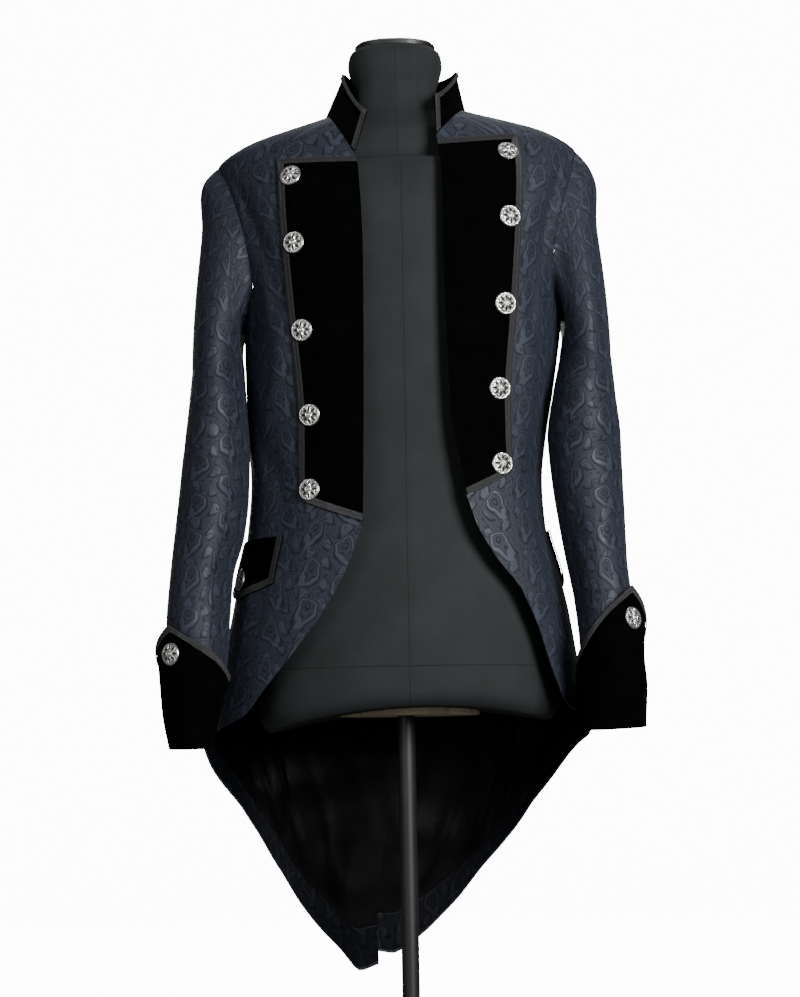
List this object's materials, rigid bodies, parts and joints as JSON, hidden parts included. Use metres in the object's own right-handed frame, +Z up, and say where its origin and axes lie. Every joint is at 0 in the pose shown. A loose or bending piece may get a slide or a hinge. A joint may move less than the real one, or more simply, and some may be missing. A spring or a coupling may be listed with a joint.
{
  "type": "frock coat on dress form",
  "caption": "Cutaway frock coat with a pointed tail, velvet revers, stand collar and deep cuffs, worn by a limbless dress form on a short round stand",
  "frame": {"origin": "middle of the underside of the stand's foot, on the floor", "axes": "+Z up; the coat faces -Y; the wearer's left is +X"},
  "size_m": [0.5698, 0.3381, 1.1983],
  "materials": {
    "brocade": "navy and charcoal brocade with scrolls",
    "velvet": "deep black velvet",
    "braid": "dark grey ribbed braid",
    "satin": "black satin lining",
    "silver": "silver-coloured openwork metal",
    "form_cloth": "dark grey-green form cover",
    "board": "pale board",
    "stand": "black paint"
  },
  "bodies": {
    "root": {"back_left": "brocade", "back_right": "brocade", "collar": "velvet", "collar_braid": "braid", "cuff_braid_left": "braid", "cuff_braid_right": "braid", "cuff_button_left": "silver", "cuff_button_right": "silver", "cuff_left": "velvet", "cuff_right": "velvet", "flap_braid_left": "braid", "flap_braid_right": "braid", "flap_button_left": "silver", "flap_button_right": "silver", "form_board": "board", "form_neck_cap": "stand", "form_torso": "form_cloth", "front_left": "brocade", "front_right": "brocade", "lapel_braid_left": "braid", "lapel_braid_right": "braid", "lapel_button_left_1": "silver", "lapel_button_left_2": "silver", "lapel_button_left_3": "silver", "lapel_button_left_4": "silver", "lapel_button_left_5": "silver", "lapel_button_right_1": "silver", "lapel_button_right_2": "silver", "lapel_button_right_3": "silver", "lapel_button_right_4": "silver", "lapel_button_right_5": "silver", "lapel_left": "velvet", "lapel_right": "velvet", "pocket_flap_left": "velvet", "pocket_flap_right": "velvet", "side_front_left": "brocade", "side_front_right": "brocade", "sleeve_top_left": "brocade", "sleeve_top_right": "brocade", "sleeve_under_left": "brocade", "sleeve_under_right": "brocade", "stand_foot": "stand", "stand_pole": "stand", "tail_facing_left": "brocade", "tail_facing_right": "brocade", "tail_lining_left": "satin", "tail_lining_right": "satin"}
  },
  "joints": []
}
